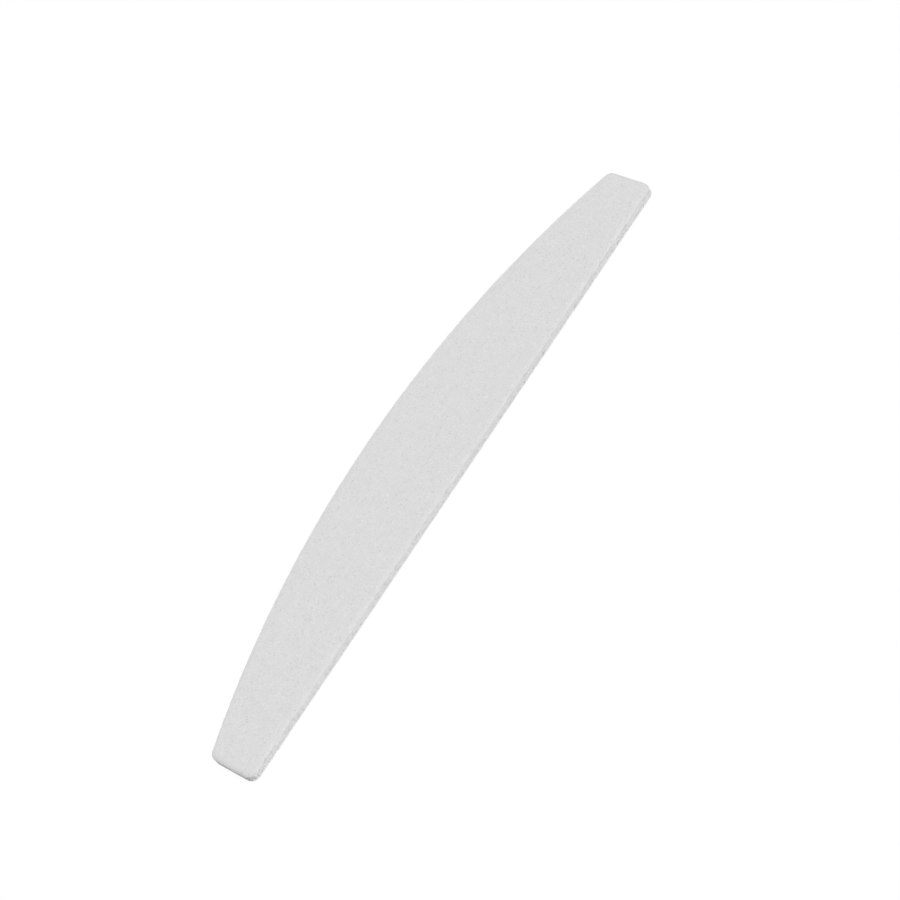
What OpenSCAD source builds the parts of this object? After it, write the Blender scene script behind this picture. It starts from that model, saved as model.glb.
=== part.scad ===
// Half-moon emery board: a die-cut laminate of abrasive paper, cushion foam and a stiff core.
// It lies flat with its long straight edge towards -Y, its curved edge towards +Y and its finer face up.
// The origin is the middle of the box that the board fills, at the level of the face it lies on.

/* [Cut outline] */
// Length of the straight edge, before its corners are rounded
board_l = 178; // [120:1:200]
// Greatest width, from the straight edge to the crown of the curved edge
board_w = 28; // [20:0.5:36]
// Width of the cut at each end, before its corners are rounded
end_w = 13.4; // [9:0.2:18]
// Radius of the four corners of the cut
corner_r = 2.4; // [2.2:0.1:4]

/* [Laminate] */
// Thickness of the stiff core sheet
core_t = 0.5; // [0.3:0.05:1.5]
// Thickness of each foam cushion, where the die hasn't crushed it
foam_t = 0.8; // [0.75:0.05:2]
// Thickness of each film of adhesive between core and foam, and between foam and paper
glue_t = 0.05; // [0.03:0.01:0.15]
// Thickness of the backing paper of each abrasive sheet
paper_t = 0.15; // [0.1:0.01:0.4]
// Thickness of the resin coat that holds the grain on each sheet
grit_t = 0.1; // [0.06:0.01:0.25]

/* [Die-cut edge] */
// How far in from the cut the die has rolled the upper face down
roll_w = 1.4; // [0.8:0.1:2]
// How far down the upper face has been rolled at the cut
roll_drop = 0.6; // [0.2:0.05:0.65]
// How deep the cut side of a foam cushion is dished, at the middle of its height
foam_dish = 0.08; // [0.02:0.01:0.15]

/* [Smoothness] */
// Straight steps along the curved edge
crown_steps = 32; // [16:4:64]
// Straight steps round each corner
corner_steps = 10; // [4:1:12]
// Steps across the rolled edge
roll_steps = 6; // [3:1:10]
// Steps up the dished side of a foam cushion
dish_steps = 4; // [2:2:8]

/* [Hidden] */

// Levels of the flat layers, each resting on the one before it
paper_z = grit_t;
outer_glue_z = paper_z + paper_t;
foam_z = outer_glue_z + glue_t;
inner_glue_z = foam_z + foam_t;
core_z = inner_glue_z + glue_t;
upper_glue_z = core_z + core_t;
upper_foam_z = upper_glue_z + glue_t;
upper_outer_glue_z = upper_foam_z + foam_t;
upper_paper_z = upper_outer_glue_z + glue_t;
upper_grit_z = upper_paper_z + paper_t;

// The curved edge is one arc through the crown and the two ends of the cut
crown_rise = board_w - end_w;
crown_r = (pow(board_l / 2, 2) + pow(crown_rise, 2)) / (2 * crown_rise);
crown_y = board_w / 2 - crown_r;

// Centres of the corner arcs, which touch the straight cuts and the curved edge
corner_x = board_l / 2 - corner_r;
straight_corner_y = corner_r - board_w / 2;
curved_corner_y = crown_y + sqrt(pow(crown_r - corner_r, 2) - pow(corner_x, 2));
// Direction, from the arc's centre, of the point where the curved edge meets the corner
crown_from = acos(corner_x / (crown_r - corner_r));

// Radius of the rolled edge's section, which is level at its inner side
roll_r = (pow(roll_w, 2) + pow(roll_drop, 2)) / (2 * roll_drop);

// Points of an arc, both ends included
function arc(centre, r, from, to, steps) =
    [for (i = [0:steps]) let (a = from + (to - from) * i / steps) centre + r * [cos(a), sin(a)]];

// The die's outline, counter-clockwise, drawn in by inset all round
function outline(inset) = concat(
    arc([corner_x, straight_corner_y], corner_r - inset, -90, 0, corner_steps),
    arc([corner_x, curved_corner_y], corner_r - inset, 0, crown_from, corner_steps),
    [for (i = [1:crown_steps - 1])
        let (a = crown_from + (180 - 2 * crown_from) * i / crown_steps)
        [0, crown_y] + (crown_r - inset) * [cos(a), sin(a)]],
    arc([-corner_x, curved_corner_y], corner_r - inset, 180 - crown_from, 180, corner_steps),
    arc([-corner_x, straight_corner_y], corner_r - inset, 180, 270, corner_steps)
);

// How far the upper face has sunk at a distance in from the cut
function sunk(inset) = roll_r - sqrt(pow(roll_r, 2) - pow(max(0, roll_w - inset), 2));

// How far in the dished side of a cushion stands, at a share of its height
function dished(share) = foam_dish * 4 * share * (1 - share);

// One ring of the skin of a solid: the outline drawn in by inset, at the height z
function ring(inset, z) = [for (p = outline(inset)) [p.x, p.y, z]];

// Rings over a rolled face that would lie at z, from the flat part out to the cut
function rolled_rings(z) =
    [for (i = [0:roll_steps]) let (inset = roll_w * (1 - i / roll_steps)) ring(inset, z - sunk(inset))];

// The same rings in the other order
function reversed(list) = [for (i = [len(list) - 1:-1:0]) list[i]];

// A closed solid through rings of equal length, capped flat at both ends, first ring lowest
module skin(rings) {
    n = len(rings[0]);
    last = len(rings) - 1;
    sides = [for (k = [0:last - 1], i = [0:n - 1])
        let (a = k * n + i, b = k * n + (i + 1) % n)
        each [[a, a + n, b + n], [a, b + n, b]]];
    caps = [[for (i = [0:n - 1]) i], [for (i = [n - 1:-1:0]) last * n + i]];
    polyhedron(points = [for (r = rings) each r], faces = concat(sides, caps));
}

// A flat layer of the laminate, as the die leaves it
module flat_layer(z, thick) {
    translate([0, 0, z])
        linear_extrude(thick)
            polygon(outline(0));
}

// A layer above the upper cushion, rolled down at the cut
module rolled_layer(z, thick) {
    skin(concat(rolled_rings(z), reversed(rolled_rings(z + thick))));
}

// The side of a cushion between two heights, without its lower and upper ring
function dished_rings(z, height) =
    [for (i = [1:dish_steps - 1]) ring(dished(i / dish_steps), z + height * i / dish_steps)];

module bottom_grit_coat() {
    color("silver") flat_layer(0, grit_t);
}

module bottom_backing_paper() {
    color("whitesmoke") flat_layer(paper_z, paper_t);
}

module bottom_outer_adhesive() {
    color("lightgray") flat_layer(outer_glue_z, glue_t);
}

// The lower cushion is uncrushed, so only its cut side is shaped
module bottom_foam_cushion() {
    color("white")
        skin(concat([ring(0, foam_z)], dished_rings(foam_z, foam_t), [ring(0, foam_z + foam_t)]));
}

module bottom_inner_adhesive() {
    color("lightgray") flat_layer(inner_glue_z, glue_t);
}

module core_board() {
    color("gainsboro") flat_layer(core_z, core_t);
}

module top_inner_adhesive() {
    color("lightgray") flat_layer(upper_glue_z, glue_t);
}

// The upper cushion lies flat on the core, and the die has crushed its upper side all round
module top_foam_cushion() {
    color("white")
        skin(concat(
            [ring(0, upper_foam_z)],
            dished_rings(upper_foam_z, foam_t - roll_drop),
            reversed(rolled_rings(upper_outer_glue_z))
        ));
}

module top_outer_adhesive() {
    color("lightgray") rolled_layer(upper_outer_glue_z, glue_t);
}

module top_backing_paper() {
    color("whitesmoke") rolled_layer(upper_paper_z, paper_t);
}

module top_grit_coat() {
    color("gainsboro") rolled_layer(upper_grit_z, grit_t);
}

bottom_grit_coat();
bottom_backing_paper();
bottom_outer_adhesive();
bottom_foam_cushion();
bottom_inner_adhesive();
core_board();
top_inner_adhesive();
top_foam_cushion();
top_outer_adhesive();
top_backing_paper();
top_grit_coat();
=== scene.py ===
import math

import bpy
import numpy as np
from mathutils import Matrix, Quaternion, Vector


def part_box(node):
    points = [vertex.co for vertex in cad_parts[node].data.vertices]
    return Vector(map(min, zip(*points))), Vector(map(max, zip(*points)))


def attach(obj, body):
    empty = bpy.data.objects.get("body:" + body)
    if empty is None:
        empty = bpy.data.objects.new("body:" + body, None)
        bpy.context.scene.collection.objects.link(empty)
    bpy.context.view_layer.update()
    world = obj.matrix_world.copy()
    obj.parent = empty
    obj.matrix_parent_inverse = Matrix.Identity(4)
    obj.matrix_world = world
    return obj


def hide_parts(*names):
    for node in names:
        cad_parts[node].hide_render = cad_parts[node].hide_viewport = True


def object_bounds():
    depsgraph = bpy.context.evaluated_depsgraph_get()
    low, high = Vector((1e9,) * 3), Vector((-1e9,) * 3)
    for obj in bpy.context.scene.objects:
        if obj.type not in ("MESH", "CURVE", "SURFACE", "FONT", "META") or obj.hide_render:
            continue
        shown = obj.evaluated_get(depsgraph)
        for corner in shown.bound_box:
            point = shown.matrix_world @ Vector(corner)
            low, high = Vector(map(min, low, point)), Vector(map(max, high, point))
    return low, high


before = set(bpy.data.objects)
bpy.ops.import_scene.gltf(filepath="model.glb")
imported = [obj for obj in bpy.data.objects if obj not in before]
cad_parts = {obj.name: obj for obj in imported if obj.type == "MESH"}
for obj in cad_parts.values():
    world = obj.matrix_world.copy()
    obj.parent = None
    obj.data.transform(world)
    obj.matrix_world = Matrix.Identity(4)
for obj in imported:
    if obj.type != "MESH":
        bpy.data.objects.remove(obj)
cad_low, cad_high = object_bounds()


# Core board. A sheet of pale grey polystyrene in the middle of the laminate keeps the
# file straight. The steel rule that cuts the board out leaves upright drag marks in its
# side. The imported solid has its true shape, so it only gets its finish here.
MM = 0.001
CORE_GREY = 0.78
CORE_ROUGHNESS = 0.42
CORE_GLOSS = 0.5
CORE_MARKS = {"Spacing": 0.3 * MM, "Depth": 0.015 * MM, "Shade": 0.25}
# How wide a drag mark is for its length
MARK_SLIMNESS = 0.04
# The values that noise mostly keeps between
NOISE_RANGE = (0.3, 0.7)


def put(tree, kind, sockets=None, **settings):
    """Adds a node. Each socket, by name or number, takes a value or another node's output."""
    node = tree.nodes.new(kind)
    for name, value in settings.items():
        setattr(node, name, value)
    for name, value in (sockets or {}).items():
        if isinstance(value, bpy.types.NodeSocket):
            tree.links.new(value, node.inputs[name])
        else:
            node.inputs[name].default_value = value
    return node


def work_out(tree, operation, first, second=0.0):
    """A sum on two sockets or numbers."""
    return put(tree, "ShaderNodeMath", {0: first, 1: second}, operation=operation).outputs[0]


def remap(tree, value, low, high, new_low, new_high):
    """Carries a value from one range smoothly to another, held at both ends."""
    sockets = {"Value": value, "From Min": low, "From Max": high, "To Min": new_low, "To Max": new_high}
    return put(tree, "ShaderNodeMapRange", sockets, interpolation_type="SMOOTHSTEP").outputs[0]


def sloped(tree, value, slope, level):
    """The value times the slope, on top of the level."""
    return put(tree, "ShaderNodeMath", {0: value, 1: slope, 2: level}, operation="MULTIPLY_ADD").outputs[0]


def vary(tree, value, low, high, shade):
    """A tint about 1 that follows a value: half the shade darker at low, half lighter at high."""
    darkest = sloped(tree, shade, -0.5, 1.0)
    lightest = sloped(tree, shade, 0.5, 1.0)
    return remap(tree, value, low, high, darkest, lightest)


def start_group(name, kind, inputs, outputs):
    """Starts a node group with named sockets. Returns its tree, its inputs and its output node."""
    tree = bpy.data.node_groups.new(name, kind)
    for socket, what in inputs.items():
        tree.interface.new_socket(name=socket, in_out="INPUT", socket_type="NodeSocket" + what)
    for socket, what in outputs.items():
        tree.interface.new_socket(name=socket, in_out="OUTPUT", socket_type="NodeSocket" + what)
    return tree, put(tree, "NodeGroupInput").outputs, put(tree, "NodeGroupOutput")


def make_rule_marks():
    """Upright streaks that the cutting rule drags through the whole thickness."""
    inputs = {"Vector": "Vector", "Spacing": "Float", "Depth": "Float", "Shade": "Float"}
    outputs = {"Height": "Float", "Tint": "Float"}
    tree, given, out = start_group("Rule marks", "ShaderNodeTree", inputs, outputs)
    stretch = (1, 1, MARK_SLIMNESS)
    upright = put(tree, "ShaderNodeVectorMath", {0: given["Vector"], 1: stretch}, operation="MULTIPLY")
    scale = work_out(tree, "DIVIDE", 1.0, given["Spacing"])
    noise = put(
        tree,
        "ShaderNodeTexNoise",
        {"Vector": upright.outputs[0], "Scale": scale, "Detail": 3.0, "Roughness": 0.6},
    ).outputs[0]
    tree.links.new(work_out(tree, "MULTIPLY", noise, given["Depth"]), out.inputs["Height"])
    tree.links.new(vary(tree, noise, *NOISE_RANGE, given["Shade"]), out.inputs["Tint"])
    return tree


RULE_MARKS = make_rule_marks()


def start_material(name, roughness, specular):
    """A material: its tree, its shader and its Object coordinates."""
    material = bpy.data.materials.new(name)
    material.use_nodes = True
    tree = material.node_tree
    shader = tree.nodes["Principled BSDF"]
    shader.inputs["Roughness"].default_value = roughness
    shader.inputs["Specular IOR Level"].default_value = specular
    return material, tree, shader, put(tree, "ShaderNodeTexCoord").outputs["Object"]


def effect(tree, group, place, values):
    """Places a shared effect in a material with its own values, and returns its outputs."""
    return put(tree, "ShaderNodeGroup", {"Vector": place, **values}, node_tree=group).outputs


def colour_it(tree, shader, grey, tints):
    """Feeds the grey, times each tint in turn, to the shader's colour."""
    for tint in tints:
        grey = work_out(tree, "MULTIPLY", grey, tint)
    colour = put(tree, "ShaderNodeCombineColor", {0: grey, 1: grey, 2: grey})
    tree.links.new(colour.outputs[0], shader.inputs["Base Color"])


def raise_it(tree, shader, height):
    """Feeds a height in metres to the shader's normal."""
    bump = put(tree, "ShaderNodeBump", {"Height": height, "Distance": 1.0, "Strength": 1.0})
    tree.links.new(bump.outputs[0], shader.inputs["Normal"])


def make_core_plastic():
    material, tree, shader, place = start_material("Core polystyrene", CORE_ROUGHNESS, CORE_GLOSS)
    marks = effect(tree, RULE_MARKS, place, CORE_MARKS)
    colour_it(tree, shader, CORE_GREY, [marks["Tint"]])
    raise_it(tree, shader, marks["Height"])
    return material


def repaint(nodes, material):
    """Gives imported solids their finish."""
    for node in nodes:
        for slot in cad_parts[node].material_slots:
            slot.material = material


repaint(["core_board"], make_core_plastic())


# Adhesive films. Clear acrylic, 0.05 mm thick, goes on both sides of the core and on the
# outer side of each cushion. All four are cut flush with the board, so their edges show
# as thin glossy lines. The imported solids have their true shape.
ADHESIVE_GREY = 0.75
ADHESIVE_ROUGHNESS = 0.22
ADHESIVE_GLOSS = 0.5
ADHESIVE_PATCH = 1.6 * MM
ADHESIVE_PATCH_SHADE = 0.12
ADHESIVE_PATCH_HEIGHT = 0.006 * MM


def make_adhesive():
    material, tree, shader, place = start_material("Acrylic adhesive", ADHESIVE_ROUGHNESS, ADHESIVE_GLOSS)
    sockets = {"Vector": place, "Scale": 1 / ADHESIVE_PATCH, "Detail": 4.0}
    patches = put(tree, "ShaderNodeTexNoise", sockets).outputs[0]
    colour_it(tree, shader, ADHESIVE_GREY, [vary(tree, patches, *NOISE_RANGE, ADHESIVE_PATCH_SHADE)])
    raise_it(tree, shader, work_out(tree, "MULTIPLY", patches, ADHESIVE_PATCH_HEIGHT))
    return material


repaint(
    ["bottom_outer_adhesive", "bottom_inner_adhesive", "top_inner_adhesive", "top_outer_adhesive"],
    make_adhesive(),
)


# Foam cushions. Two sheets of white closed-cell polyethylene foam lie against the core.
# The rule opens the cells in their cut sides and draws the sides in a little, and it has
# crushed the upper sheet to a quarter of its thickness all round.
FOAM_GREY = 0.79
FOAM_ROUGHNESS = 0.85
FOAM_GLOSS = 0.3
FOAM_CELL = 0.36 * MM
# How much darker the deepest pit is painted: painted shade in the open cells
FOAM_PIT_PAINTED_SHADE = 0.38
FOAM_CUT = {"Cell": FOAM_CELL, "Depth": 0.1 * MM, "Wave": 3.5 * MM, "Wave depth": 0.07 * MM}
# How far from its wall, in cells, a pit starts and reaches its floor
CELL_WALL = 0.03
CELL_FLOOR = 0.22
# The share of cells that the rule left almost shut, and how deep those are
CELLS_SHUT = 0.2
SHUT_DEPTH = 0.15
# How far the cells next to an adhesive film are open
EDGE_OPEN = 0.35
# Cells too fine to model: how many fit across a modelled one, their painted shade, darker at their hollow
# middles, and their depth
FINE_CELLS = 3.1
FINE_CELL_PAINTED_SHADE = 0.08
FINE_CELL_DEPTH = 0.03 * MM
FOAM_STEP = 0.12 * MM
FOAM_ROW_STEP = 0.8 * FOAM_STEP
FOAM_DISH = 0.04 * MM

# The board's cut outline and its rolled edge
END_CUT = 13.4 * MM
CORNER = 2.4 * MM
ROLL_W = 1.4 * MM
ROLL_DROP = 0.6 * MM
ROLL_STEPS = 6
# Steps that a corner and the curved edge are drawn in, before points are spaced along them
CORNER_STEPS = 400
CROWN_STEPS = 4000
TINY = 1e-9
HALF_L, HALF_W = cad_high.x, cad_high.y
CROWN_RISE = 2 * HALF_W - END_CUT
CROWN_R = (HALF_L**2 + CROWN_RISE**2) / (2 * CROWN_RISE)
CROWN_Y = HALF_W - CROWN_R
CORNER_X = HALF_L - CORNER
LOW_CORNER_Y = CORNER - HALF_W
HIGH_CORNER_Y = CROWN_Y + math.sqrt((CROWN_R - CORNER) ** 2 - CORNER_X**2)
CROWN_FROM = math.acos(CORNER_X / (CROWN_R - CORNER))
ROLL_R = (ROLL_W**2 + ROLL_DROP**2) / (2 * ROLL_DROP)


def edge_of(points):
    """How far each point lies in from the cut, and the direction from it straight out."""
    side = np.where(points[:, 0] < 0, -1.0, 1.0)
    x, y = np.abs(points[:, 0]), points[:, 1]
    crown = np.stack([points[:, 0], y - CROWN_Y], axis=1)
    reach = np.linalg.norm(crown, axis=1)
    insets = np.stack([y + HALF_W, HALF_L - x, CROWN_R - reach])
    outs = np.zeros((3, len(points), 2))
    outs[0, :, 1] = -1.0
    outs[1, :, 0] = side
    outs[2] = crown / reach[:, None]
    nearest = insets.argmin(axis=0)
    each = np.arange(len(points))
    inset, out = insets[nearest, each], outs[nearest, each]
    below = (x > CORNER_X) & (y < LOW_CORNER_Y)
    turn = CORNER_X * (y - HIGH_CORNER_Y) - (HIGH_CORNER_Y - CROWN_Y) * (x - CORNER_X)
    above = (x > CORNER_X) & (y > HIGH_CORNER_Y) & (turn < 0)
    for inside, centre_y in ((below, LOW_CORNER_Y), (above, HIGH_CORNER_Y)):
        spoke = np.stack([x - CORNER_X, y - centre_y], axis=1)[inside]
        length = np.maximum(np.linalg.norm(spoke, axis=1), TINY)
        inset[inside] = CORNER - length
        out[inside] = spoke / length[:, None] * np.stack([side[inside], np.ones(len(spoke))], axis=1)
    return inset, out


def arc(centre, radius, start, stop, steps=CORNER_STEPS):
    """Points of an arc, both ends included."""
    angles = np.linspace(start, stop, steps + 1)
    return np.array(centre) + radius * np.stack([np.cos(angles), np.sin(angles)], axis=1)


def cut_line(spacing):
    """Evenly spaced points along the cut, counter-clockwise, and the direction out at each."""
    right_angle = math.pi / 2
    line = np.concatenate(
        [
            arc((CORNER_X, LOW_CORNER_Y), CORNER, -right_angle, 0.0),
            arc((CORNER_X, HIGH_CORNER_Y), CORNER, 0.0, CROWN_FROM),
            arc((0.0, CROWN_Y), CROWN_R, CROWN_FROM, math.pi - CROWN_FROM, CROWN_STEPS),
            arc((-CORNER_X, HIGH_CORNER_Y), CORNER, math.pi - CROWN_FROM, math.pi),
            arc((-CORNER_X, LOW_CORNER_Y), CORNER, math.pi, math.pi + right_angle),
            [(CORNER_X, -HALF_W)],
        ]
    )
    run = np.concatenate([[0.0], np.cumsum(np.linalg.norm(np.diff(line, axis=0), axis=1))])
    places = np.linspace(0.0, run[-1], round(run[-1] / spacing), endpoint=False)
    points = np.stack([np.interp(places, run, line[:, axis]) for axis in (0, 1)], axis=1)
    return points, edge_of(points)[1]


def sunk(inset):
    """How far the die has rolled the upper face down, at a distance in from the cut."""
    return ROLL_R - np.sqrt(ROLL_R**2 - np.maximum(0.0, ROLL_W - inset) ** 2)


def new_piece(name, points, faces, facts):
    """A new object of these points and faces, with the named facts stored on its points."""
    mesh = bpy.data.meshes.new(name)
    mesh.from_pydata(points.tolist(), [], faces)
    for label, values in facts.items():
        values = np.asarray(values, np.float32)
        kind, field = ("FLOAT", "value") if values.ndim == 1 else ("FLOAT_VECTOR", "vector")
        mesh.attributes.new(label, kind, "POINT").data.foreach_set(field, values.ravel())
    piece = bpy.data.objects.new(name, mesh)
    bpy.context.scene.collection.objects.link(piece)
    return piece


def wrap(rings):
    """Points and faces of a closed skin through equal rings, lowest first, capped at both ends."""
    count, last = len(rings[0]), len(rings) - 1
    start = np.arange(count)
    after = np.roll(start, -1)
    faces = []
    for k in range(last):
        lower, upper = k * count, (k + 1) * count
        faces += np.stack([lower + start, lower + after, upper + after, upper + start], axis=1).tolist()
    faces += [start[::-1].tolist(), (last * count + start).tolist()]
    return np.concatenate(rings), faces


def shape_with(piece, tree, values):
    """Runs a Geometry Nodes tree on a piece and keeps the result as its plain mesh."""
    modifier = piece.modifiers.new("shape", "NODES")
    modifier.node_group = tree
    for item in tree.interface.items_tree:
        if item.in_out == "INPUT" and item.name in values:
            modifier[item.identifier] = values[item.name]
    ready = piece.evaluated_get(bpy.context.evaluated_depsgraph_get())
    piece.data = bpy.data.meshes.new_from_object(ready)
    piece.data.name = piece.name
    piece.modifiers.clear()


def keep_shape(tree, shape, given, out):
    """Ends a shaping tree: real geometry with its material."""
    real = put(tree, "GeometryNodeRealizeInstances", {"Geometry": shape})
    done = put(tree, "GeometryNodeSetMaterial", {"Geometry": real.outputs[0], "Material": given["Material"]})
    tree.links.new(done.outputs[0], out.inputs["Geometry"])
    return tree


def fact(tree, name, kind="FLOAT"):
    """A fact stored on the points."""
    return put(tree, "GeometryNodeInputNamedAttribute", {"Name": name}, data_type=kind).outputs["Attribute"]


def move_along(tree, shape, direction, distance):
    """Moves every point along a direction by a distance."""
    offset = put(tree, "ShaderNodeVectorMath", {0: direction, "Scale": distance}, operation="SCALE")
    return put(tree, "GeometryNodeSetPosition", {"Geometry": shape, "Offset": offset.outputs[0]}).outputs[0]


def make_open_cells():
    """Opens foam cells in a cut side: pits with thin walls, on a side that is a little wavy."""
    inputs = {
        "Geometry": "Geometry",
        "Cell": "Float",
        "Depth": "Float",
        "Wave": "Float",
        "Wave depth": "Float",
        "Seed": "Float",
        "Material": "Material",
    }
    tree, given, out = start_group("Open cells", "GeometryNodeTree", inputs, {"Geometry": "Geometry"})
    spread = {"Scale": work_out(tree, "DIVIDE", 1.0, given["Cell"]), "W": given["Seed"]}
    wall = put(tree, "ShaderNodeTexVoronoi", spread, voronoi_dimensions="4D", feature="DISTANCE_TO_EDGE")
    cell = put(tree, "ShaderNodeTexVoronoi", spread, voronoi_dimensions="4D", feature="F1")
    luck = put(tree, "FunctionNodeSeparateColor", {0: cell.outputs["Color"]}).outputs["Red"]
    hollow = remap(tree, wall.outputs["Distance"], CELL_WALL, CELL_FLOOR, 0.0, 1.0)
    depth = remap(tree, luck, CELLS_SHUT, 1.0, SHUT_DEPTH, 1.0)
    opened = work_out(tree, "MULTIPLY", depth, fact(tree, "open"))
    pit = work_out(tree, "MULTIPLY", hollow, opened)
    wave = put(
        tree,
        "ShaderNodeTexNoise",
        {"Scale": work_out(tree, "DIVIDE", 1.0, given["Wave"]), "W": given["Seed"], "Detail": 2.0},
        noise_dimensions="4D",
    ).outputs[0]
    swell = work_out(tree, "MULTIPLY", remap(tree, wave, *NOISE_RANGE, 0.0, 1.0), fact(tree, "bowed"))
    deep = work_out(tree, "MULTIPLY", pit, given["Depth"])
    drawn = work_out(tree, "ADD", deep, work_out(tree, "MULTIPLY", swell, given["Wave depth"]))
    # Each point's pit depth is kept, so that the foam's material can paint shade into the pits
    noted = put(
        tree,
        "GeometryNodeStoreNamedAttribute",
        {"Geometry": given["Geometry"], "Name": "pit", "Value": pit},
        data_type="FLOAT",
        domain="POINT",
    )
    outward = fact(tree, "outward", "FLOAT_VECTOR")
    shape = move_along(tree, noted.outputs[0], outward, work_out(tree, "MULTIPLY", drawn, -1.0))
    return keep_shape(tree, shape, given, out)


OPEN_CELLS = make_open_cells()


def make_foam():
    material, tree, shader, place = start_material("Polyethylene foam", FOAM_ROUGHNESS, FOAM_GLOSS)
    sockets = {"Vector": place, "Scale": FINE_CELLS / FOAM_CELL}
    fine = put(tree, "ShaderNodeTexVoronoi", sockets, feature="F1").outputs["Distance"]
    pit = put(tree, "ShaderNodeAttribute", attribute_name="pit").outputs["Fac"]
    tints = [
        # Painted shade: the deeper a pit, the darker its colour
        remap(tree, pit, 0.0, 1.0, 1.0, 1.0 - FOAM_PIT_PAINTED_SHADE),
        # Painted shade: each fine cell darker towards its hollow middle, where its bump is lowest
        vary(tree, fine, 0.0, 0.5, FINE_CELL_PAINTED_SHADE),
    ]
    colour_it(tree, shader, FOAM_GREY, tints)
    raise_it(tree, shader, work_out(tree, "MULTIPLY", fine, FINE_CELL_DEPTH))
    return material


FOAM = make_foam()


def make_cushion(node, rolled, seed):
    """A cushion: its cut side drawn in and full of open cells, its upper side rolled or flat."""
    low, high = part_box(node)
    line, out = cut_line(FOAM_STEP)
    side_high = high.z - (ROLL_DROP if rolled else 0.0)
    rows = max(3, round((side_high - low.z) / FOAM_ROW_STEP))
    share = np.linspace(0.0, 1.0, rows + 1)
    bow = 4 * share * (1 - share)
    inset = FOAM_DISH * bow
    level = low.z + share * (side_high - low.z)
    opened = EDGE_OPEN + (1 - EDGE_OPEN) * np.minimum(1.0, 2 * bow)
    if rolled:
        over = ROLL_W * np.arange(1, ROLL_STEPS + 1) / ROLL_STEPS
        inset = np.append(inset, over)
        level = np.append(level, high.z - sunk(over))
        opened = np.append(opened, np.zeros(ROLL_STEPS))
        bow = np.append(bow, np.zeros(ROLL_STEPS))
    rings = []
    for ring_inset, ring_level in zip(inset, level):
        rings.append(np.column_stack([line - out * ring_inset, np.full(len(line), ring_level)]))
    points, faces = wrap(rings)
    facts = {
        "outward": np.tile(np.column_stack([out, np.zeros(len(out))]), (len(rings), 1)),
        "open": np.repeat(opened, len(line)),
        "bowed": np.repeat(np.sqrt(bow), len(line)),
    }
    cushion = new_piece(node + "_cut", points, faces, facts)
    shape_with(cushion, OPEN_CELLS, {**FOAM_CUT, "Seed": seed, "Material": FOAM})
    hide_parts(node)
    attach(cushion, "root")


make_cushion("bottom_foam_cushion", False, 1.0)
make_cushion("top_foam_cushion", True, 2.0)


# Backing papers. White kraft paper, 0.15 mm thick, carries each abrasive coat and is
# glued to the outer side of its cushion. Its cut edge is layered and fibrous, and short
# broken fibres stand out of it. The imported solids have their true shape.
PAPER_GREY = 0.8
PAPER_ROUGHNESS = 0.88
PAPER_GLOSS = 0.25
PAPER_MARKS = {"Spacing": 0.3 * MM, "Depth": 0.01 * MM, "Shade": 0.3}
# The layers within the paper: their thickness, and that for their length, their shade and depth
PAPER_LAYER = 0.03 * MM
PAPER_LAYER_SLIMNESS = 0.12
PAPER_LAYER_SHADE = 0.12
PAPER_LAYER_DEPTH = 0.02 * MM
FIBRE = {"Density": 20.0 / MM**2, "Length": 0.075 * MM, "Width": 0.013 * MM}
# A fibre: its tip for its width, the shortest for the longest, and the greatest lean and turn
FIBRE_TIP = 0.24
FIBRE_SHORTEST = 0.35
FIBRE_LEAN = 0.9
FIBRE_TURN = 6.3
# The strip that they stand on: how far in it lies, its steps, and the part of the thickness it takes
FIBRE_ROOT = 0.015 * MM
FIBRE_STEP = 1.0 * MM
FIBRE_BAND = (0.15, 0.85)


def make_paper():
    material, tree, shader, place = start_material("Kraft paper", PAPER_ROUGHNESS, PAPER_GLOSS)
    stretch = (PAPER_LAYER_SLIMNESS, PAPER_LAYER_SLIMNESS, 1.0)
    along = put(tree, "ShaderNodeVectorMath", {0: place, 1: stretch}, operation="MULTIPLY")
    layers = put(
        tree,
        "ShaderNodeTexNoise",
        {"Vector": along.outputs[0], "Scale": 1 / PAPER_LAYER, "Detail": 5.0, "Roughness": 0.65},
    ).outputs[0]
    marks = effect(tree, RULE_MARKS, place, PAPER_MARKS)
    layered = vary(tree, layers, *NOISE_RANGE, PAPER_LAYER_SHADE)
    colour_it(tree, shader, PAPER_GREY, [layered, marks["Tint"]])
    relief = work_out(tree, "MULTIPLY", layers, PAPER_LAYER_DEPTH)
    raise_it(tree, shader, work_out(tree, "ADD", relief, marks["Height"]))
    return material


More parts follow.
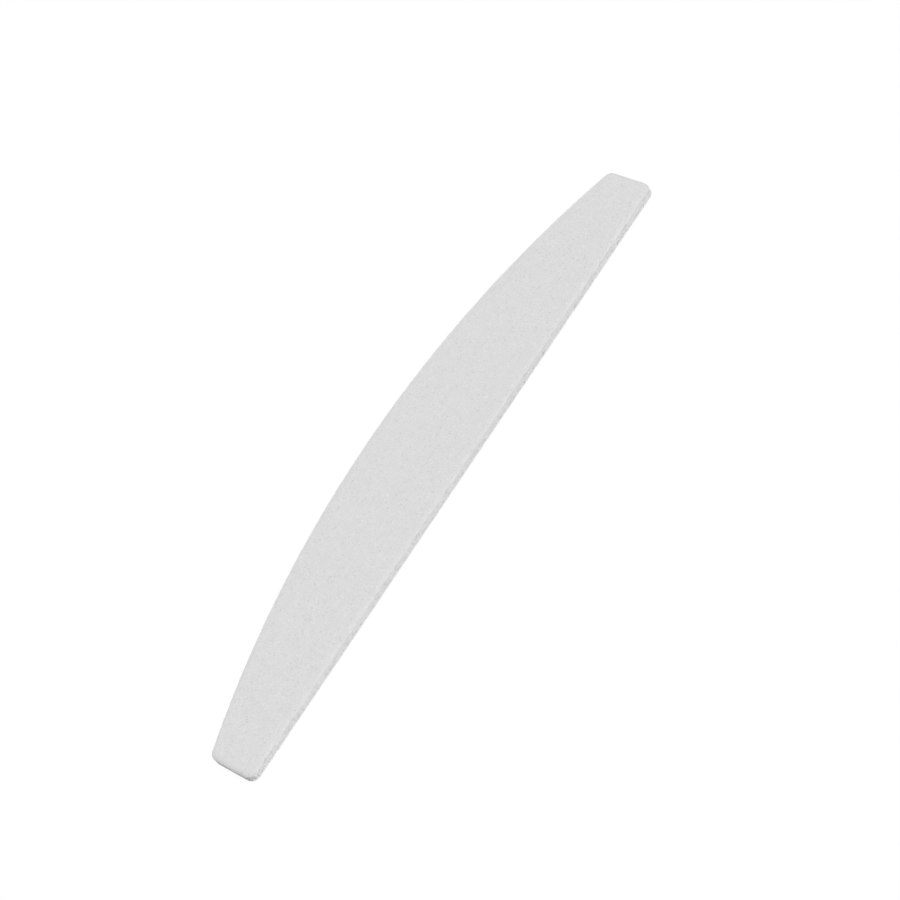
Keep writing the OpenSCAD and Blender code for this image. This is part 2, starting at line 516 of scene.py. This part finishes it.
def make_edge_fibres():
    """Stands short tapered fibres on a strip, each tilted its own way."""
    inputs = {
        "Geometry": "Geometry",
        "Density": "Float",
        "Length": "Float",
        "Width": "Float",
        "Seed": "Int",
        "Material": "Material",
    }
    tree, given, out = start_group("Edge fibres", "GeometryNodeTree", inputs, {"Geometry": "Geometry"})
    spots = put(
        tree,
        "GeometryNodeDistributePointsOnFaces",
        {"Mesh": given["Geometry"], "Density": given["Density"], "Seed": given["Seed"]},
    )
    fibre = put(
        tree,
        "GeometryNodeMeshCone",
        {
            "Vertices": 3,
            "Radius Top": work_out(tree, "MULTIPLY", given["Width"], 0.5 * FIBRE_TIP),
            "Radius Bottom": work_out(tree, "MULTIPLY", given["Width"], 0.5),
            "Depth": given["Length"],
        },
        fill_type="TRIANGLE_FAN",
    )
    angles = {0: (-FIBRE_LEAN, -FIBRE_LEAN, 0), 1: (FIBRE_LEAN, FIBRE_LEAN, FIBRE_TURN)}
    lean = put(tree, "FunctionNodeRandomValue", angles, data_type="FLOAT_VECTOR")
    turn = put(tree, "FunctionNodeEulerToRotation", {0: lean.outputs[0]})
    facing = put(
        tree,
        "FunctionNodeRotateRotation",
        {0: spots.outputs["Rotation"], 1: turn.outputs[0]},
        rotation_space="LOCAL",
    )
    size = put(tree, "FunctionNodeRandomValue", {2: FIBRE_SHORTEST, 3: 1.0}, data_type="FLOAT")
    fibres = put(
        tree,
        "GeometryNodeInstanceOnPoints",
        {
            "Points": spots.outputs["Points"],
            "Instance": fibre.outputs["Mesh"],
            "Rotation": facing.outputs[0],
            "Scale": size.outputs[1],
        },
    )
    return keep_shape(tree, fibres.outputs[0], given, out)


PAPER = make_paper()
EDGE_FIBRES = make_edge_fibres()
repaint(["bottom_backing_paper", "top_backing_paper"], PAPER)


def make_fibres(node, rolled, seed):
    """The broken fibres round the cut edge of one paper."""
    low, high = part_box(node)
    thick = high.z - low.z - (ROLL_DROP if rolled else 0.0)
    line, out = cut_line(FIBRE_STEP)
    line = line - out * FIBRE_ROOT
    start = np.arange(len(line))
    after = np.roll(start, -1)
    faces = np.stack([start, after, len(line) + after, len(line) + start], axis=1).tolist()
    levels = [np.full(len(line), low.z + thick * share) for share in FIBRE_BAND]
    points = np.concatenate([np.column_stack([line, level]) for level in levels])
    fibres = new_piece(node + "_fibres", points, faces, {})
    shape_with(fibres, EDGE_FIBRES, {**FIBRE, "Seed": seed, "Material": PAPER})
    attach(fibres, "root")


make_fibres("bottom_backing_paper", False, 11)
make_fibres("top_backing_paper", True, 12)


# Grit coats. Each paper carries a coat of grey resin with abrasive grain bedded in it,
# finer on the upper face and coarser on the lower. The upper one goes down with its paper
# at the rolled edge, and the rule chips both of them along the two long edges.
FINE = {
    "node": "top_grit_coat",
    "grey": 0.72,
    "grain": 0.09 * MM,
    "shade": 0.16,
    "clump": 0.55 * MM,
    "bed": 0.04 * MM,
    "lump": 0.6 * MM,
    "lump_height": 0.016 * MM,
    "spacing": 0.25 * MM,
    "width": 0.2 * MM,
    "largest": 1.9,
    "sides": 3,
    "flatten": 0.45,
    "seed": 21,
}
COARSE = {
    "node": "bottom_grit_coat",
    "grey": 0.70,
    "grain": 0.15 * MM,
    "shade": 0.26,
    "clump": 0.8 * MM,
    "bed": 0.05 * MM,
    "lump": 0.9 * MM,
    "lump_height": 0.02 * MM,
    "spacing": 0.36 * MM,
    "width": 0.32 * MM,
    "largest": 1.5,
    "sides": 4,
    "flatten": 0.5,
    "seed": 22,
}
GRIT_ROUGHNESS = 0.8
GRIT_GLOSS = 0.35
GRAIN_RELIEF = 0.28
CLUMP_SHADE = 0.13
MOTTLE_SHADE = 0.02
CLOUD = 2.5 * MM
# The grid of a face: its step, its columns round a corner, and its rows across a lip
COAT_STEP = 0.34 * MM
CORNER_COLUMNS = 17
LIP_ROWS = 9
LIP_CROWDING = 1.2
SHARP_EDGE = math.radians(35)
# Chips: their depth, how far in they reach, how they fade towards a corner, how many there
# are to a lump, and the values of their noise at which one starts and is deepest
CHIP = 0.13 * MM
CHIP_REACH = 0.4 * MM
CHIP_FADE = 2.0 * MM
CHIPS_TO_LUMP = 1.3
CHIP_FROM = 0.5
CHIP_FULL = 0.75


def coat_grid():
    """A grid of columns across the board, closer at the rounded ends, and rows closer at the lips."""
    turns = np.linspace(0.0, math.pi / 2, CORNER_COLUMNS)
    end = CORNER_X + CORNER * np.sin(turns[::-1])
    middle = np.linspace(-CORNER_X, CORNER_X, round(2 * CORNER_X / COAT_STEP) + 1)
    x = np.concatenate([-end, middle[1:-1], end[::-1]])
    far = np.abs(x) > CORNER_X
    over = np.sqrt(np.maximum(0.0, CORNER**2 - np.maximum(0.0, np.abs(x) - CORNER_X) ** 2))
    low = np.where(far, LOW_CORNER_Y - over, -HALF_W)
    on_crown = np.abs(x) <= CORNER_X + CORNER * math.cos(CROWN_FROM)
    high = np.where(on_crown, CROWN_Y + np.sqrt(CROWN_R**2 - x**2), HIGH_CORNER_Y + over)
    lip = np.linspace(0.0, 1.0, LIP_ROWS) ** LIP_CROWDING * ROLL_W / (2 * HALF_W)
    inner = np.linspace(lip[-1], 1 - lip[-1], round((2 * HALF_W - 2 * ROLL_W) / COAT_STEP) + 1)
    share = np.concatenate([lip, inner[1:-1], 1 - lip[::-1]])
    y = low[:, None] + share[None, :] * (high - low)[:, None]
    return np.stack([np.broadcast_to(x[:, None], y.shape), y], axis=2)


def coat_shell(kind, rolled):
    """The closed shell of a coat: its face as a grid, its cut side, and its back on the paper."""
    low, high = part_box(kind["node"])
    thick = high.z - low.z - (ROLL_DROP if rolled else 0.0)
    grid = coat_grid()
    nx, ny = grid.shape[:2]
    flat = grid.reshape(-1, 2)
    inset, out = edge_of(flat)
    at = np.arange(nx * ny).reshape(nx, ny)
    quads = np.stack([at[:-1, :-1], at[1:, :-1], at[1:, 1:], at[:-1, 1:]], axis=2).reshape(-1, 4)
    rim = np.concatenate([at[:-1, 0], at[-1, :-1], at[:0:-1, -1], at[0, :0:-1]])
    line, line_out = flat[rim], out[rim]
    chipped = np.clip((CORNER_X - np.abs(flat[:, 0])) / CHIP_FADE, 0.0, 1.0)
    heights = [thick - kind["bed"] - (sunk(inset) if rolled else np.zeros(len(inset)))]
    points, count = [flat], nx * ny
    faces = quads.tolist()
    facts = {
        "face": [np.ones(count)],
        "chipped": [chipped],
        "inset": [inset],
        "outward": [out],
    }
    # Rings from the rim: halfway along the cut side, its end, and in over the paper's rolled edge
    steps = ROLL_STEPS if rolled else 0
    before = rim
    for k in range(-1, steps + 1):
        back_inset = max(0.0, ROLL_W * k / ROLL_STEPS)
        ring = np.arange(count, count + len(rim))
        level = 0.5 * (thick - kind["bed"]) if k < 0 else 0.0
        drop = sunk(back_inset) if rolled else 0.0
        points.append(line - line_out * back_inset)
        heights.append(np.full(len(rim), level - drop))
        faces += np.stack([before, ring, np.roll(ring, -1), np.roll(before, -1)], axis=1).tolist()
        facts["face"].append(np.zeros(len(rim)))
        facts["chipped"].append(chipped[rim] * (k < 0))
        facts["inset"].append(np.zeros(len(rim)))
        facts["outward"].append(line_out)
        before, count = ring, count + len(rim)
    faces.append(before[::-1].tolist())
    z = np.concatenate(heights)
    points = np.column_stack([np.concatenate(points), z])
    facts = {name: np.concatenate(parts) for name, parts in facts.items()}
    facts["outward"] = np.column_stack([facts["outward"], np.zeros(len(points))])
    if rolled:
        points[:, 2] += high.z - thick
    else:
        points[:, 2] = high.z - points[:, 2]
        faces = [face[::-1] for face in faces]
    return points, faces, facts


def make_coat_relief():
    """Gives a coat its lumps, square to the board, and chips its cut edge."""
    inputs = {
        "Geometry": "Geometry",
        "Lump": "Float",
        "Height": "Float",
        "Chip": "Float",
        "Reach": "Float",
        "Seed": "Float",
        "Material": "Material",
    }
    tree, given, out = start_group("Coat relief", "GeometryNodeTree", inputs, {"Geometry": "Geometry"})
    scale = work_out(tree, "DIVIDE", 1.0, given["Lump"])
    lumps = put(
        tree,
        "ShaderNodeTexNoise",
        {"Scale": scale, "W": given["Seed"], "Detail": 3.0, "Roughness": 0.6},
        noise_dimensions="4D",
    ).outputs[0]
    level = work_out(tree, "MULTIPLY", work_out(tree, "SUBTRACT", lumps, 0.5), given["Height"])
    lift = work_out(tree, "MULTIPLY", work_out(tree, "MULTIPLY", level, 2.0), fact(tree, "face"))
    up = put(tree, "ShaderNodeCombineXYZ", {"X": 0.0, "Y": 0.0, "Z": lift})
    raised = put(tree, "GeometryNodeSetPosition", {"Geometry": given["Geometry"], "Offset": up.outputs[0]})
    outward, inset = fact(tree, "outward", "FLOAT_VECTOR"), fact(tree, "inset")
    here = put(tree, "GeometryNodeInputPosition").outputs[0]
    level_here = put(tree, "ShaderNodeVectorMath", {0: here, 1: (1, 1, 0)}, operation="MULTIPLY").outputs[0]
    to_cut = put(tree, "ShaderNodeVectorMath", {0: outward, "Scale": inset}, operation="SCALE").outputs[0]
    at_cut = put(tree, "ShaderNodeVectorMath", {0: level_here, 1: to_cut}, operation="ADD").outputs[0]
    chip_scale = work_out(tree, "MULTIPLY", scale, CHIPS_TO_LUMP)
    chips = put(
        tree,
        "ShaderNodeTexNoise",
        {"Vector": at_cut, "Scale": chip_scale, "W": given["Seed"], "Detail": 2.0},
        noise_dimensions="4D",
    ).outputs[0]
    bite = work_out(tree, "MULTIPLY", remap(tree, chips, CHIP_FROM, CHIP_FULL, 0.0, -1.0), given["Chip"])
    near = remap(tree, inset, 0.0, given["Reach"], 1.0, 0.0)
    hold = work_out(tree, "MULTIPLY", near, fact(tree, "chipped"))
    shape = move_along(tree, raised.outputs[0], outward, work_out(tree, "MULTIPLY", bite, hold))
    return keep_shape(tree, shape, given, out)


# A grain is a pyramid: its radius, its height and how far its base lies from its middle, in widths
GRAIN_RADIUS = 0.55
GRAIN_HEIGHT = 0.8
GRAIN_BASE = 0.3
# Its least and greatest size, the share of the grains that don't grow past it, and its greatest turn
GRAIN_SIZES = (0.55, 1.1)
GRAIN_COMMON = 0.8
GRAIN_TURN = 6.28
# How near the cut, in widths, a grain may lie, and how near it still has its full size
GRAIN_MARGIN = 0.25
GRAIN_REACH = 0.6
# Spots that are tried in a square of the spacing
GRAIN_SPOTS = 2.0


def make_scattered_grain():
    """Beds sharp grains in a coat's face, flattens them and keeps them between two levels."""
    inputs = {
        "Geometry": "Geometry",
        "Spacing": "Float",
        "Width": "Float",
        "Largest": "Float",
        "Sides": "Int",
        "Flatten": "Float",
        "Lowest": "Float",
        "Highest": "Float",
        "Seed": "Int",
        "Material": "Material",
    }
    tree, given, out = start_group("Scattered grain", "GeometryNodeTree", inputs, {"Geometry": "Geometry"})
    area = work_out(tree, "MULTIPLY", given["Spacing"], given["Spacing"])
    nearest = work_out(tree, "MULTIPLY", given["Width"], GRAIN_MARGIN)
    spots = put(
        tree,
        "GeometryNodeDistributePointsOnFaces",
        {
            "Mesh": given["Geometry"],
            "Selection": work_out(tree, "GREATER_THAN", fact(tree, "inset"), nearest),
            "Distance Min": given["Spacing"],
            "Density Max": work_out(tree, "DIVIDE", GRAIN_SPOTS, area),
            "Seed": given["Seed"],
        },
        distribute_method="POISSON",
    )
    height = put(tree, "ShaderNodeSeparateXYZ", {0: put(tree, "GeometryNodeInputPosition").outputs[0]})
    bedded = put(
        tree,
        "GeometryNodeStoreNamedAttribute",
        {"Geometry": spots.outputs["Points"], "Name": "bed", "Value": height.outputs["Z"]},
        data_type="FLOAT",
        domain="POINT",
    )
    sizes = {
        "Vertices": given["Sides"],
        "Radius Top": 0.0,
        "Radius Bottom": GRAIN_RADIUS,
        "Depth": GRAIN_HEIGHT,
    }
    grain = put(tree, "GeometryNodeMeshCone", sizes, fill_type="NGON")
    about_middle = {"Geometry": grain.outputs["Mesh"], "Offset": (0.0, 0.0, -GRAIN_BASE)}
    centred = put(tree, "GeometryNodeSetPosition", about_middle)
    turns = {0: (0, 0, 0), 1: (GRAIN_TURN,) * 3}
    turn = put(tree, "FunctionNodeRandomValue", turns, data_type="FLOAT_VECTOR")
    facing = put(tree, "FunctionNodeEulerToRotation", {0: turn.outputs[0]})
    shares = {0: (GRAIN_SIZES[0],) * 3, 1: (GRAIN_SIZES[1],) * 3, "Seed": 1}
    share = put(tree, "FunctionNodeRandomValue", shares, data_type="FLOAT_VECTOR")
    luck = put(tree, "FunctionNodeRandomValue", {2: 0.0, 3: 1.0, "Seed": 2}, data_type="FLOAT").outputs[1]
    growth = remap(tree, luck, GRAIN_COMMON, 1.0, 1.0, given["Largest"])
    large = work_out(tree, "MULTIPLY", growth, given["Width"])
    reach = work_out(tree, "MULTIPLY", large, GRAIN_REACH)
    room = work_out(tree, "MINIMUM", work_out(tree, "DIVIDE", fact(tree, "inset"), reach), 1.0)
    across = work_out(tree, "MULTIPLY", large, room)
    size = put(tree, "ShaderNodeVectorMath", {0: share.outputs[0], "Scale": across}, operation="SCALE")
    grains = put(
        tree,
        "GeometryNodeInstanceOnPoints",
        {
            "Points": bedded.outputs[0],
            "Instance": centred.outputs[0],
            "Rotation": facing.outputs[0],
            "Scale": size.outputs[0],
        },
    )
    real = put(tree, "GeometryNodeRealizeInstances", {"Geometry": grains.outputs[0]})
    now = put(tree, "ShaderNodeSeparateXYZ", {0: put(tree, "GeometryNodeInputPosition").outputs[0]})
    bed = fact(tree, "bed")
    above = work_out(tree, "MULTIPLY", work_out(tree, "SUBTRACT", now.outputs["Z"], bed), given["Flatten"])
    pressed = work_out(tree, "MAXIMUM", work_out(tree, "ADD", bed, above), given["Lowest"])
    level = work_out(tree, "MINIMUM", pressed, given["Highest"])
    place = put(tree, "ShaderNodeCombineXYZ", {"X": now.outputs["X"], "Y": now.outputs["Y"], "Z": level})
    flat = put(tree, "GeometryNodeSetPosition", {"Geometry": real.outputs[0], "Position": place.outputs[0]})
    return keep_shape(tree, flat.outputs[0], given, out)


# How far the fine grains differ in height, for how far each one rises
GRAIN_STEP = 0.6
# A clump: where it is full and where it ends, in clumps, the share without one, and how
# strong a light one is for a dark one
CLUMP_FULL = 0.25
CLUMP_END = 0.55
CLUMP_RARITY = 0.72
LIGHT_CLUMP = 0.7
# Roughness of the glossiest and of the dullest grain
GRAIN_ROUGHNESS = (0.6, 0.95)


def make_grain_effect():
    """Grain too fine to model: cells of their own shade and height, clumps, and soft mottling."""
    inputs = {
        "Vector": "Vector",
        "Grain": "Float",
        "Relief": "Float",
        "Shade": "Float",
        "Clump": "Float",
        "Clump shade": "Float",
        "Mottle": "Float",
    }
    outputs = {"Height": "Float", "Tint": "Float", "Roughness": "Float"}
    tree, given, out = start_group("Abrasive grain", "ShaderNodeTree", inputs, outputs)
    scale = work_out(tree, "DIVIDE", 1.0, given["Grain"])
    cells = put(tree, "ShaderNodeTexVoronoi", {"Vector": given["Vector"], "Scale": scale}, feature="F1")
    tone = put(tree, "ShaderNodeSeparateColor", {0: cells.outputs["Color"]})
    peak = work_out(tree, "SUBTRACT", 1.0, cells.outputs["Distance"])
    rise = work_out(tree, "ADD", peak, work_out(tree, "MULTIPLY", tone.outputs[0], GRAIN_STEP))
    tree.links.new(work_out(tree, "MULTIPLY", rise, given["Relief"]), out.inputs["Height"])
    speck = vary(tree, tone.outputs[1], 0.0, 1.0, given["Shade"])
    spots = {"Vector": given["Vector"], "Scale": work_out(tree, "DIVIDE", 1.0, given["Clump"])}
    clumps = put(tree, "ShaderNodeTexVoronoi", spots, feature="F1")
    luck = put(tree, "ShaderNodeSeparateColor", {0: clumps.outputs["Color"]}).outputs
    inside = remap(tree, clumps.outputs["Distance"], CLUMP_FULL, CLUMP_END, 1.0, 0.0)
    dark = remap(tree, luck[0], CLUMP_RARITY, 1.0, 0.0, -1.0)
    light = remap(tree, luck[1], CLUMP_RARITY, 1.0, 0.0, LIGHT_CLUMP)
    patch = work_out(tree, "MULTIPLY", inside, work_out(tree, "ADD", dark, light))
    clumped = sloped(tree, patch, given["Clump shade"], 1.0)
    cloud = put(tree, "ShaderNodeTexNoise", {"Vector": given["Vector"], "Scale": 1 / CLOUD, "Detail": 4.0})
    cloudy = vary(tree, cloud.outputs[0], *NOISE_RANGE, given["Mottle"])
    tint = work_out(tree, "MULTIPLY", work_out(tree, "MULTIPLY", speck, clumped), cloudy)
    tree.links.new(tint, out.inputs["Tint"])
    tree.links.new(remap(tree, tone.outputs[2], 0.0, 1.0, *GRAIN_ROUGHNESS), out.inputs["Roughness"])
    return tree


GRAIN_EFFECT = make_grain_effect()


def make_grit(name, kind):
    material, tree, shader, place = start_material(name, GRIT_ROUGHNESS, GRIT_GLOSS)
    values = {
        "Grain": kind["grain"],
        "Relief": GRAIN_RELIEF * kind["grain"],
        "Shade": kind["shade"],
        "Clump": kind["clump"],
        "Clump shade": CLUMP_SHADE,
        "Mottle": MOTTLE_SHADE,
    }
    grit = effect(tree, GRAIN_EFFECT, place, values)
    colour_it(tree, shader, kind["grey"], [grit["Tint"]])
    raise_it(tree, shader, grit["Height"])
    tree.links.new(grit["Roughness"], shader.inputs["Roughness"])
    return material


COAT_RELIEF = make_coat_relief()
SCATTERED_GRAIN = make_scattered_grain()


def make_coat(kind, rolled, material):
    """One coat and the grain bedded in its face."""
    low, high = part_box(kind["node"])
    coat = new_piece(kind["node"] + "_resin", *coat_shell(kind, rolled))
    shape_with(
        coat,
        COAT_RELIEF,
        {
            "Lump": kind["lump"],
            "Height": kind["lump_height"],
            "Chip": CHIP,
            "Reach": CHIP_REACH,
            "Seed": float(kind["seed"]),
            "Material": material,
        },
    )
    coat.data.shade_smooth()
    coat.data.set_sharp_from_angle(angle=SHARP_EDGE)
    grain = bpy.data.objects.new(kind["node"] + "_grain", coat.data.copy())
    bpy.context.scene.collection.objects.link(grain)
    shape_with(
        grain,
        SCATTERED_GRAIN,
        {
            "Spacing": kind["spacing"],
            "Width": kind["width"],
            "Largest": kind["largest"],
            "Sides": kind["sides"],
            "Flatten": kind["flatten"],
            "Lowest": low.z,
            "Highest": high.z,
            "Seed": kind["seed"],
            "Material": material,
        },
    )
    grain.data.shade_flat()
    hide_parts(kind["node"])
    for piece in (coat, grain):
        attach(piece, "root")


make_coat(FINE, True, make_grit("Fine grit", FINE))
make_coat(COARSE, False, make_grit("Coarse grit", COARSE))


# Table and light. The board lies on a white table between soft boxes along its long sides.
# Their light off the table comes from the room's lower half, so the table lets it through.
# Past the left end the room is dark, apart from a wide lamp high up that leans that way.
TABLE_HALF = 2.5
TABLE_GAP = 0.02 * MM
TABLE_SHADOW = 0.12
CEILING_LEVEL = 0.37
BOX_LEVEL = 0.73
BOUNCE_LEVEL = 0.34
BOUNCE_BOX_LEVEL = 2.44
# How soft the line is between the upper and the lower half of the room
HORIZON = 0.04
# Where the room starts to darken towards the left end, and where it is dark
DARK_FROM = -0.2
DARK_BY = -0.26
LAMP_LEVEL = 0.69
LAMP_LEAN = math.radians(18.5)
LAMP_TURN = math.radians(-65.0)
LAMP_WIDTH = math.radians(35.0)


def seen_directly(tree):
    """1 for rays that come from the camera, a reflection or a transmission."""
    rays = put(tree, "ShaderNodeLightPath").outputs
    mirrored = work_out(tree, "MAXIMUM", rays["Is Glossy Ray"], rays["Is Transmission Ray"])
    return work_out(tree, "MAXIMUM", rays["Is Camera Ray"], mirrored)


def make_table():
    corners = np.array([(-1, -1), (1, -1), (1, 1), (-1, 1)]) * TABLE_HALF
    table = new_piece("table", np.column_stack([corners, np.full(4, -TABLE_GAP)]), [[0, 1, 2, 3]], {})
    material = bpy.data.materials.new("White table")
    material.use_nodes = True
    tree = material.node_tree
    tree.nodes.clear()
    glow = put(tree, "ShaderNodeEmission", {"Color": (1, 1, 1, 1), "Strength": 1.0})
    matte = put(tree, "ShaderNodeBsdfDiffuse", {"Color": (1, 1, 1, 1)})
    white = put(tree, "ShaderNodeMixShader", {0: TABLE_SHADOW, 1: glow.outputs[0], 2: matte.outputs[0]})
    clear = put(tree, "ShaderNodeBsdfTransparent")
    front = work_out(tree, "SUBTRACT", 1.0, put(tree, "ShaderNodeNewGeometry").outputs["Backfacing"])
    shown = work_out(tree, "MULTIPLY", front, seen_directly(tree))
    mix = put(tree, "ShaderNodeMixShader", {0: shown, 1: clear.outputs[0], 2: white.outputs[0]})
    put(tree, "ShaderNodeOutputMaterial", {"Surface": mix.outputs[0]})
    table.data.materials.append(material)


def light_room():
    """The soft boxes and ceiling above, and their light off the table below."""
    world = bpy.data.worlds.new("White room")
    world.use_nodes = True
    tree = world.node_tree
    tree.nodes.clear()
    towards = put(tree, "ShaderNodeTexCoord").outputs["Generated"]
    way = put(tree, "ShaderNodeSeparateXYZ", {0: towards}).outputs
    sideways = work_out(tree, "MULTIPLY", way["Y"], way["Y"])
    above = sloped(tree, sideways, BOX_LEVEL, CEILING_LEVEL)
    below = sloped(tree, sideways, BOUNCE_BOX_LEVEL, BOUNCE_LEVEL)
    share = remap(tree, way["Z"], -HORIZON, HORIZON, 0.0, 1.0)
    level = put(tree, "ShaderNodeMix", {0: share, 2: below, 3: above}, data_type="FLOAT").outputs[0]
    level = work_out(tree, "MULTIPLY", level, remap(tree, way["X"], DARK_BY, DARK_FROM, 0.0, 1.0))
    lit = put(tree, "ShaderNodeBackground", {"Color": (1, 1, 1, 1), "Strength": level})
    white = put(tree, "ShaderNodeBackground", {"Color": (1, 1, 1, 1), "Strength": 1.0})
    mix = put(tree, "ShaderNodeMixShader", {0: seen_directly(tree), 1: lit.outputs[0], 2: white.outputs[0]})
    put(tree, "ShaderNodeOutputWorld", {"Surface": mix.outputs[0]})
    bpy.context.scene.world = world


def hang_lamp():
    """The wide lamp high up, which leans towards the left end."""
    light = bpy.data.lights.new("soft lamp", "SUN")
    light.energy = LAMP_LEVEL * math.pi
    light.angle = LAMP_WIDTH
    lamp = bpy.data.objects.new("soft lamp", light)
    towards = Vector((math.sin(LAMP_TURN), -math.cos(LAMP_TURN), 0.0)) * math.sin(LAMP_LEAN)
    towards.z = math.cos(LAMP_LEAN)
    lamp.rotation_mode = "QUATERNION"
    lamp.rotation_quaternion = (-towards).to_track_quat("-Z", "Y")
    bpy.context.scene.collection.objects.link(lamp)


make_table()
light_room()
hang_lamp()
bpy.context.scene.view_settings.view_transform = "Standard"


# Camera. A 100 mm lens looks down on the board from beyond its left end and its straight
# edge, turned so that the board runs from the lower left of the picture to the upper right.
LENS = 100.0
SENSOR = 36.0
AIM = Vector((4.28, -7.5, 1.4)) * MM
DISTANCE = 604.4 * MM
AZIMUTH = math.radians(-25.44)
ELEVATION = math.radians(51.17)
ROLL = math.radians(-35.55)
NEAREST_SEEN = 0.01

level_back = Vector((math.sin(AZIMUTH), -math.cos(AZIMUTH), 0.0)) * math.cos(ELEVATION)
back = level_back + Vector((0.0, 0.0, math.sin(ELEVATION)))
lens = bpy.data.cameras.new("camera")
lens.lens = LENS
lens.sensor_width = SENSOR
lens.clip_start = NEAREST_SEEN
camera = bpy.data.objects.new("camera", lens)
camera.location = AIM + back * DISTANCE
camera.rotation_mode = "QUATERNION"
camera.rotation_quaternion = (-back).to_track_quat("-Z", "Y") @ Quaternion((0.0, 0.0, 1.0), ROLL)
bpy.context.scene.collection.objects.link(camera)
bpy.context.scene.camera = camera
